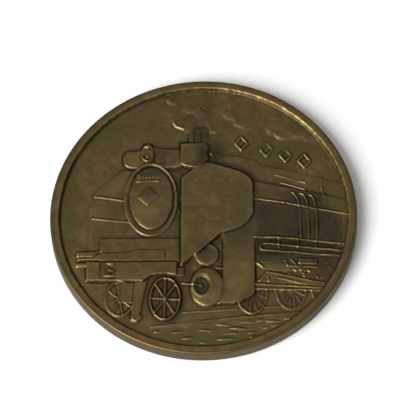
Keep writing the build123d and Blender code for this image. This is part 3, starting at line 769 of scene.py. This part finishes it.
def wear_and_dirt(face):
    """Where a face is rubbed bright and where dirt stays, both from 0 to 1, from how it stands up."""
    proud = face.height - blur(face.height, 0.12)
    wide = face.height - blur(face.height, 0.6)
    x, y = np.meshgrid(face.axis, face.axis)
    far = np.hypot(x, y)
    wear_and_light = soft_step((proud - 0.01) / 0.05) * 0.5 + soft_step((wide - 0.03) / 0.12) * 0.15
    wear_and_light *= 1 - 0.7 * soft_step((far - RIM_INNER) / 0.2)
    inside = 1 - soft_step((far - FIELD_RADIUS + 1.2) / 0.8)
    low = blur(face.height, 0.08) - face.height
    dirt = soft_step((low - 0.003) / 0.02) * (0.45 + 0.55 * inside)
    dirt += soft_step((-wide - 0.01) / 0.1) * 0.4 * inside
    on_slope = soft_step(1.4 - np.abs(far - FIELD_RADIUS - RIM_SLOPE / 2) / 0.2)
    broken = soft_step(0.5 + 0.6 * face.waves(np.random.default_rng(9), 0.12))
    dirt = np.maximum(dirt, 0.5 * on_slope * broken)
    return np.clip(wear_and_light, 0, 1), np.clip(dirt, 0, 1)


def patches(face, places):
    """Soft oval patches on the field, each a centre, a half width and height, and a strength."""
    x, y = np.meshgrid(face.axis, face.axis)
    total = np.zeros(x.shape)
    for middle_x, middle_y, half_width, half_height, strength in places:
        far = ((x - middle_x) / half_width) ** 2 + ((y - middle_y) / half_height) ** 2
        total = np.maximum(total, strength * np.exp(-far ** 2))
    return total * (1 - soft_step((np.hypot(x, y) - FIELD_RADIUS) / RIM_SLOPE))


def shaded_places(face):
    """Where the obverse's relief shades it: lines beside what stands proud, and the side of the boiler."""
    dark = np.zeros(face.height.shape)
    for reach, strength, route in PAINTED_SHADE_LINES:
        place, x, y = face.window(Line(*route).box, reach)
        line = strength * soft_step(1.3 - Line(*route).distance(x, y) / reach)
        dark[place] = np.maximum(dark[place], line)
    shade = Outline(*UNDER_BOILER).distance(*np.meshgrid(face.axis, face.axis))
    return np.maximum(dark, soft_step(0.5 - shade))


def face_normals(face):
    """The surface's direction on a face, as seen from its own front."""
    rise_y, rise_x = np.gradient(face.height, PITCH)
    length = np.sqrt(rise_x ** 2 + rise_y ** 2 + 1)
    return -rise_x / length, -rise_y / length, 1 / length


def vertex_places(mesh):
    """The vertices' places in millimetres, a row each."""
    places = np.empty(len(mesh.vertices) * 3)
    mesh.vertices.foreach_get("co", places)
    return places.reshape(-1, 3) / MM


def dress_mesh(mesh, obverse, reverse):
    """Give the mesh the true surface directions, and say where it is worn, dirty, dark and green; the worn
    values also carry painted light, and the dark values also carry painted shade.
    """
    x, y, z = vertex_places(mesh).T
    far = np.hypot(x, y)
    on_top, inner = z > THICKNESS / 2, far < RADIUS - EDGE_ROUND - PITCH
    turn = np.clip((far - RADIUS + EDGE_ROUND) / EDGE_ROUND, 0, 1)
    up = np.where((z > EDGE_ROUND * 1.01) & (z < THICKNESS - EDGE_ROUND * 1.01), 0, np.sqrt(1 - turn ** 2))
    level = np.sqrt(1 - up ** 2) / far.clip(1e-6)
    normals = np.column_stack([x * level, y * level, np.where(on_top, up, -up)])
    spread = {"wear_and_light": 0.9 * turn * (1 - turn), "dirt": 0.42 - 0.3 * turn * (1 - turn),
              "dark": np.zeros(len(x)), "green": np.zeros(len(x))}
    for face, side, chosen in ((obverse, 1, on_top & inner), (reverse, -1, ~on_top & inner)):
        places = side * x[chosen], y[chosen]
        nx, ny, nz = [sample(face, values, *places) for values in face_normals(face)]
        normals[chosen] = np.column_stack([side * nx, ny, side * nz])
        wear_and_light, dirt = wear_and_dirt(face)
        dark, green = patches(face, DARK_PATCHES), patches(face, GREEN_PATCHES)
        if side == 1:
            # painted shade, the lines beside what stands proud and the shaded side of the boiler, joins the
            # darker tarnish
            dark = np.maximum(dark, shaded_places(face))
            # painted light: the pale patches, partly rubbed metal, also lighten the lower left and paint a
            # highlight at the foot of the cylinder
            wear_and_light = np.maximum(wear_and_light * (1 - 0.25 * dark), patches(face, PALE_PATCHES))
        for name, values in (("wear_and_light", wear_and_light), ("dirt", dirt), ("dark", dark), ("green", green)):
            spread[name][chosen] = sample(face, values, *places)
    for name, values in spread.items():
        mesh.attributes.new(name, "FLOAT", "POINT").data.foreach_set("value", values.astype(np.float32))
    mesh.normals_split_custom_set_from_vertices(normals.tolist())


def lay_out_map(mesh):
    """The map that finishes are baked to: a large disc for the obverse, a small one for the reverse
    above and to the right of it, and the edge in strips at the lower right."""
    corner_vertex = np.empty(len(mesh.loops), int)
    mesh.loops.foreach_get("vertex_index", corner_vertex)
    corners = vertex_places(mesh)[corner_vertex].reshape(-1, 3, 3)     # triangle, corner, axis
    middle = corners.mean(1)
    ends = EDGE_ROUND * 0.55
    edge = (np.hypot(middle[:, 0], middle[:, 1]) > RADIUS - EDGE_ROUND) & (middle[:, 2] > ends)
    edge &= middle[:, 2] < THICKNESS - ends
    uv = np.empty((len(corners), 3, 2))
    upper = middle[:, 2] > THICKNESS / 2
    for half, centre, radius, side in ((upper, 0.362, 0.358, 1), (~upper, 0.783, 0.213, -1)):
        uv[half & ~edge] = centre + corners[half & ~edge][:, :, :2] * (side, 1) / RADIUS * radius
    strips = 10
    strip = np.floor(np.arctan2(middle[:, 1], middle[:, 0]) / (2 * math.pi) % 1 * strips)
    turn = np.arctan2(corners[:, :, 1], corners[:, :, 0]) / (2 * math.pi) * strips - strip[:, None]
    turn = (turn + strips / 2) % strips - strips / 2
    uv[edge, :, 0] = 0.745 + 0.235 * turn[edge]
    uv[edge, :, 1] = 0.015 + (0.045 * strip[edge])[:, None] + 0.036 * corners[edge][:, :, 2] / THICKNESS
    mesh.uv_layers.new(name="OFBake").data.foreach_set("uv", uv.ravel())


# ---- finishes ------------------------------------------------------------------------------------
def linear(code):
    """An sRGB hex colour as linear red, green, blue and alpha."""
    parts = [int(code[start:start + 2], 16) / 255 for start in (0, 2, 4)]
    return [part / 12.92 if part <= 0.04045 else ((part + 0.055) / 1.055) ** 2.4 for part in parts] + [1]


def add(owner, kind, links=None, **settings):
    """Add a node to a material or a world, set its properties, and set or link its inputs."""
    node = owner.node_tree.nodes.new("ShaderNode" + kind)
    for name, value in settings.items():
        setattr(node, name, value)
    for name, value in (links or {}).items():
        if isinstance(value, bpy.types.NodeSocket):
            owner.node_tree.links.new(value, node.inputs[name])
        else:
            node.inputs[name].default_value = value
    return node


def new_material(name):
    material = bpy.data.materials.new(name)
    material.use_nodes = True
    material.node_tree.nodes.clear()
    return material


def aged_brass():
    """Struck brass that has darkened with age: brown and olive tarnish over yellow metal, rubbed
    through on whatever stands proud, with black dirt left in the corners of the relief. The dark layer also
    paints shade beside the relief and on the shaded side of the boiler, and the rubbed layer also paints
    light towards the lower left and a highlight at the foot of the cylinder."""
    material = new_material("aged_struck_brass")
    place = add(material, "TexCoord").outputs["Object"]
    wear_and_light, dirt, dark, green = [add(material, "Attribute", attribute_name=name).outputs["Fac"]
                               for name in ("wear_and_light", "dirt", "dark", "green")]

    # Noise of four sizes: stains, clouds in the tarnish, pits and specks, and the grain of the blank,
    # which is finer than 0.05 mm and is drawn at 0.1 mm so that it shows.
    sizes = ((3.2, 4, 0.55, 0.6), (1.4, 3, 0.5, 0.6), (0.33, 4, 0.7, 0.0), (0.1, 3, 0.6, 0.0))
    stains, clouds, specks, grain = [
        add(material, "TexNoise", {"Vector": place, "Scale": 1 / (size * MM), "Detail": detail,
                                   "Roughness": roughness, "Distortion": distortion}).outputs["Fac"]
        for size, detail, roughness, distortion in sizes]

    # Each layer covers what is under it: what steers it, its range, the cover at both ends of the
    # range, what multiplies the cover, and its colour.
    layers = [
        (clouds, 0.4, 0.62, 0.0, 0.8, 1.0, "796342"),
        (stains, 0.36, 0.5, 0.45, 0.0, 1.0, "6e5532"),
        (stains, 0.5, 0.62, 0.0, 0.45, 1.0, "5f5834"),
        (clouds, 0.3, 0.52, 0.5, 1.0, green, "595631"),
        # darker tarnish, and painted shade where the relief shades the face
        (clouds, 0.35, 0.6, 0.65, 1.0, dark, "423b2b"),
        (specks, 0.55, 0.7, 0.0, 0.5, 1.0, "352c1e"),
        # rubbed yellow metal, and painted light: lighter towards the lower left, a painted highlight at the
        # foot of the cylinder
        (specks, 0.32, 0.62, 0.5, 1.0, wear_and_light, "a58d52"),
        (clouds, 0.3, 0.6, 0.75, 1.0, dirt, "1f190f"),
    ]
    colour = linear("665536")
    covers = []
    for steer, start, end, least, most, times, code in layers:
        cover = add(material, "MapRange", {"Value": steer, "From Min": start, "From Max": end,
                                           "To Min": least, "To Max": most}).outputs["Result"]
        if times != 1.0:
            cover = add(material, "Math", {0: cover, 1: times}, operation="MULTIPLY").outputs["Value"]
        colour = add(material, "Mix", {0: cover, 6: colour, 7: linear(code)}, data_type="RGBA").outputs[2]
        covers.append(cover)

    # Rubbed metal (worn, which also holds the painted light) is smoother than tarnish, and dirt is rougher.
    rough = add(material, "MapRange", {"Value": clouds, "From Min": 0.35, "From Max": 0.65, "To Min": 0.4,
                                       "To Max": 0.5}).outputs["Result"]
    worn, dirty = covers[-2:]
    for cover, change in ((dirty, 0.15), (worn, -0.1)):
        rough = add(material, "Math", {0: cover, 1: change, 2: rough}, operation="MULTIPLY_ADD").outputs[0]
    height = add(material, "Math", {0: specks, 1: 1.6, 2: grain}, operation="MULTIPLY_ADD").outputs[0]
    bump = add(material, "Bump", {"Strength": 0.4, "Distance": 0.009 * MM, "Height": height})
    shader = add(material, "BsdfPrincipled", {"Base Color": colour, "Metallic": 0.9, "Roughness": rough,
                                              "Normal": bump.outputs["Normal"]})
    add(material, "OutputMaterial", {"Surface": shader.outputs["BSDF"]})
    return material


def plain_paper():
    """A matt white card that the token lies on."""
    material = new_material("white_card")
    shader = add(material, "BsdfPrincipled", {"Base Color": linear("f4f4f2"), "Roughness": 0.9})
    add(material, "OutputMaterial", {"Surface": shader.outputs["BSDF"]})
    return material


# ---- the token ------------------------------------------------------------------------------------
obverse = obverse_face()
reverse = reverse_face()
token = bpy.data.objects.new("struck_token_metal", token_mesh(obverse, reverse))
bpy.context.scene.collection.objects.link(token)
dress_mesh(token.data, obverse, reverse)
lay_out_map(token.data)
token.data.materials.append(aged_brass())
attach(token, "root")
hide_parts("struck_token")

# ---- the stage --------------------------------------------------------------------------------------
VIEW_AZIMUTH = 2.4         # degrees; the camera stands in front of the token, a little to its right
VIEW_ELEVATION = 62.6
VIEW_DISTANCE = 0.30       # metres
VIEW_LENS = 257            # millimetres, so long that the token hardly narrows with distance
VIEW_ROLL = -2.4           # degrees anticlockwise
VIEW_ASIDE = (0.44, 1.0)   # millimetres that the view's centre lies right of and above the token's


def direction(azimuth, elevation):
    """From the token towards a thing at that azimuth, 0 in front and 90 to the right, and elevation."""
    a, e = math.radians(azimuth), math.radians(elevation)
    return Vector((math.sin(a) * math.cos(e), -math.cos(a) * math.cos(e), math.sin(e)))


def add_camera():
    """The camera of the main view."""
    data = bpy.data.cameras.new("camera")
    data.lens = VIEW_LENS
    data.clip_start, data.clip_end = 0.01, 10
    camera = bpy.data.objects.new("camera", data)
    back = direction(VIEW_AZIMUTH, VIEW_ELEVATION)
    turn = (-back).to_track_quat("-Z", "Y")
    turn.rotate(Quaternion(back, math.radians(VIEW_ROLL)))
    aside = turn @ Vector((VIEW_ASIDE[0], VIEW_ASIDE[1], 0)) * MM
    camera.location = Vector((0, 0, THICKNESS * MM / 2)) + aside + back * VIEW_DISTANCE
    camera.rotation_mode = "QUATERNION"
    camera.rotation_quaternion = turn
    bpy.context.scene.collection.objects.link(camera)
    bpy.context.scene.camera = camera


def add_lamp(name, azimuth, elevation, distance, size, power):
    """A square soft lamp that faces the token."""
    data = bpy.data.lights.new(name, "AREA")
    data.shape, data.size, data.energy = "SQUARE", size, power
    lamp = bpy.data.objects.new(name, data)
    towards = direction(azimuth, elevation)
    lamp.location = towards * distance
    lamp.rotation_euler = towards.to_track_quat("Z", "Y").to_euler()
    bpy.context.scene.collection.objects.link(lamp)


def add_floor():
    """A white card, larger than the view."""
    under = -0.02 * MM       # a hair below the reverse rim, so that the two planes don't fight
    mesh = bpy.data.meshes.new("card")
    mesh.from_pydata([(-1, -1, under), (1, -1, under), (1, 1, under), (-1, 1, under)], [], [(0, 1, 2, 3)])
    floor = bpy.data.objects.new("card", mesh)
    mesh.materials.append(plain_paper())
    bpy.context.scene.collection.objects.link(floor)


add_camera()
add_floor()
add_lamp("key", azimuth=-50, elevation=38, distance=0.8, size=0.65, power=11)
world = bpy.data.worlds.new("studio")
bpy.context.scene.world = world
world.use_nodes = True
height = add(world, "SeparateXYZ", {"Vector": add(world, "TexCoord").outputs["Generated"]}).outputs["Z"]
glow = add(world, "MapRange", {"Value": height, "From Min": 0.1, "From Max": 0.85,
                               "To Min": 0.12, "To Max": 0.5})
world.node_tree.links.new(glow.outputs["Result"], world.node_tree.nodes["Background"].inputs["Color"])
bpy.context.scene.view_settings.view_transform = "Standard"
